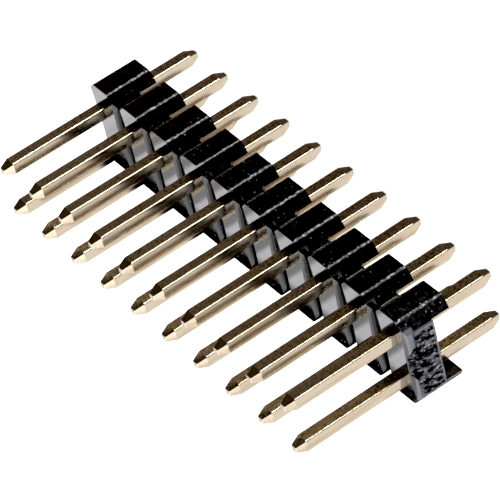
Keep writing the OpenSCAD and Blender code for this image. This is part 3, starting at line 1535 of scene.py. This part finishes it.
@dataclass(frozen=True)
class SoftScreen:
    """The light: a large soft screen behind the strip, in a room dark in front.

    Heights and places are those of a direction, from -1 to 1.

    Attributes:
        screen: Radiance of the screen by height.
        behind: How the screen starts towards +Y.
        screen_colour: Its colour.
        lamp: Radiance of a small lamp in front, by distance in half sizes.
        lamp_at: Its direction.
        lamp_shape: One over its half size along X, Y and Z.
        lamp_colour: Its colour.
        window: Radiance of a small window, by distance from its middle.
        window_at: Its direction.
        window_colour: Its colour.
        shapes: Pattern of the shapes in the room.
        room: Radiance of the room by that pattern.
        room_height: How it darkens with height.
        room_side: How it darkens towards -X.
        room_colour: Its colour.
    """

    screen: Step = Step(0.1, 0.36, 0.95, 2.6)
    behind: Step = Step(-0.02, 0.3)
    screen_colour: str = "#fdfcff"
    lamp: Step = Step(0.7, 1.0, 24.0, 0.0)
    lamp_at: tuple[float, float, float] = (-0.09, -0.94, -0.32)
    lamp_shape: tuple[float, float, float] = (5.3, 1.0, 2.6)
    lamp_colour: str = "#fff2e2"
    window: Step = Step(0.11, 0.22, 0.5, 0.0)
    window_at: tuple[float, float, float] = (-0.746, -0.583, -0.322)
    window_colour: str = "#fff4e8"
    shapes: Pattern = Pattern(4.0, 4.0, 0.6)
    room: Step = Step(0.35, 0.65, 0.048, 0.216)
    room_height: Step = Step(-0.1, 0.1, 1.0, 0.25)
    room_side: Step = Step(-0.3, 0.2, 0.3, 1.0)
    room_colour: str = "#ffe6cc"

    def distance(self, graph: Graph, direction: Socket, place: Point, shape: Point) -> Socket:
        """Measures how far a direction is from a light.

        Args:
            graph: The world's nodes.
            direction: The direction.
            place: Direction of the light.
            shape: One over its half size along each axis.

        Returns:
            The distance in half sizes.
        """
        off = graph.add(Kind.VECTOR, (direction, place), operation="SUBTRACT")[0]
        off = graph.add(Kind.VECTOR, (off, shape), operation="MULTIPLY")[0]
        return graph.add(Kind.VECTOR, (off,), operation="LENGTH")["Value"]

    def build(self) -> bpy.types.World:
        """Builds the world.

        Returns:
            The world.
        """
        world = bpy.data.worlds.new("soft_screen")
        world.use_nodes = True
        graph = Graph(world.node_tree)
        direction = graph.add(Kind.PLACE)["Generated"]
        axes = graph.add(Kind.SPLIT, (direction,))
        lamp = self.distance(graph, direction, self.lamp_at, self.lamp_shape)
        window = self.distance(graph, direction, self.window_at, (1.0, 1.0, 1.0))
        shapes = graph.add(Kind.NOISE, self.shapes.at(direction))[0]
        lights = (
            (self.screen_colour, ((self.screen, axes[2]), (self.behind, axes[1]))),
            (self.lamp_colour, ((self.lamp, lamp),)),
            (self.window_colour, ((self.window, window),)),
            (
                self.room_colour,
                ((self.room, shapes), (self.room_height, axes[2]), (self.room_side, axes[0])),
            ),
        )
        total: Optional[Socket] = None
        for colour, shares in lights:
            strength: Value = 1.0
            for step, value in shares:
                share = graph.add(Kind.RANGE, step.of(value), **SMOOTH)[0]
                strength = graph.add(Kind.MATH, (strength, share), operation="MULTIPLY")[0]
            light = graph.add(Kind.LIGHT, (linear(colour), strength))[0]
            total = light if total is None else graph.add(Kind.SUM, (total, light))[0]
        graph.add(Kind.WORLD, {"Surface": total})
        return world


@dataclass(frozen=True)
class Camera:
    """A long lens that looks along the strip from its snapped end.

    Attributes:
        sensor: Width of the sensor in millimetres.
        lens: Focal length in millimetres.
        shift: Shift of the lens, in widths of the sensor.
        clip: Shortest and longest distance shown, in metres.
        place: Where it stands, in metres.
        right: Direction to its right.
        back: Direction behind it.
    """

    sensor: float = 36.0
    lens: float = 261.65
    shift: tuple[float, float] = (0.03708, 0.00852)
    clip: tuple[float, float] = (0.01, 20.0)
    place: tuple[float, float, float] = (-0.113684, -0.108090, 0.056992)
    right: tuple[float, float, float] = (-0.56714, 0.20037, -0.79888)
    back: tuple[float, float, float] = (-0.68496, -0.65337, 0.32240)

    def build(self) -> bpy.types.Object:
        """Sets up the camera.

        Returns:
            The camera.
        """
        data = bpy.data.cameras.new("camera")
        data.sensor_width = self.sensor
        data.lens = self.lens
        data.shift_x, data.shift_y = self.shift
        data.clip_start, data.clip_end = self.clip
        obj = bpy.data.objects.new("camera", data)
        bpy.context.scene.collection.objects.link(obj)
        right = Vector(self.right).normalized()
        back = Vector(self.back).normalized()
        up = back.cross(right).normalized()
        turn = Matrix((right, up, back)).transposed().to_4x4()
        obj.matrix_world = Matrix.Translation(self.place) @ turn
        return obj


@dataclass
class Studio:
    """Floor, sheet with painted shadow, light and camera.

    Attributes:
        box: Lowest and highest corner of the strip in metres.
        reach: Half the size of the floor in metres.
        shadow_sheet_gap: Gap between the strip and the sheet with the painted shadow in metres.
        shadow_sheet_size: Size of that sheet in sizes of the strip.
        black_level: What is shown as black.
    """

    box: tuple[Vector, Vector]
    reach: float = 3.0
    shadow_sheet_gap: float = 0.00002
    shadow_sheet_size: float = 2.0
    black_level: float = 0.009

    def floor(self) -> bpy.types.Object:
        """Lays the floor.

        Returns:
            The floor.
        """
        bpy.ops.object.select_all(action="DESELECT")
        bpy.ops.mesh.primitive_plane_add(size=2 * self.reach, location=(0.0, 0.0, self.box[0].z))
        obj = bpy.context.active_object
        obj.name = "floor"
        bpy.ops.object.transform_apply(location=True, rotation=True, scale=True)
        obj.data.materials.append(PaperFloor("white_paper").build())
        obj.visible_glossy = False
        obj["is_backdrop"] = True
        return obj

    def flag(self) -> bpy.types.Object:
        """Stands a sheet close behind the strip, which only mirrored light sees, with a painted
        shadow on it.

        The painted shadow is the shade that the strip and its pins would cast on paper close by.
        It darkens what the glossy faces reflect near the moulding and fades out towards the tips
        of the pins and beyond the ends of the strip.

        Returns:
            The sheet with the painted shadow.
        """
        low, high = self.box
        centre = (low + high) / 2
        size = self.shadow_sheet_size * (high - low)
        bpy.ops.object.select_all(action="DESELECT")
        bpy.ops.mesh.primitive_plane_add(size=1.0, rotation=(math.pi / 2, 0.0, 0.0))
        obj = bpy.context.active_object
        obj.name = "black_flag"
        obj.location = (centre.x, high.y + self.shadow_sheet_gap, centre.z)
        obj.scale = (size.x, size.z, 1.0)
        bpy.ops.object.transform_apply(location=True, rotation=True, scale=True)
        # A sheet with the painted shadow of the strip and its pins, seen only in reflections.
        obj.data.materials.append(PaintedPaperShadow("black_flag_cloth").build())
        obj.visible_camera = False
        obj.visible_diffuse = False
        obj.visible_shadow = False
        obj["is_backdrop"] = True
        return obj

    def build(self) -> list[bpy.types.Object]:
        """Builds the studio.

        Returns:
            Its pieces.
        """
        made = [self.floor(), self.flag()]
        scene = bpy.context.scene
        scene.world = SoftScreen().build()
        scene.camera = Camera().build()
        settings = scene.view_settings
        settings.view_transform = "Standard"
        settings.look = "None"
        settings.use_curve_mapping = True
        settings.curve_mapping.black_level = (self.black_level,) * 3
        return made


def main() -> None:
    """Builds the part and its studio."""
    logging.basicConfig(level=logging.INFO)
    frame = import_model()
    grid = Grid.from_frame(frame["nodes"])
    plating = GoldPlating("gold_flash_on_drawn_wire").build()
    plastic = MouldedPlastic("moulded_black_pbt").build()
    torn = SnappedPlastic("snapped_black_pbt").build()
    pins = Pin(grid, plating).build()
    strip = Insulator(grid, plastic, torn).build()
    stage = Studio(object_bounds()).build()
    for piece in (*pins, strip, *stage):
        LOG.info("%s: %d faces", piece.name, len(piece.data.polygons))


if __name__ == "__main__":
    main()
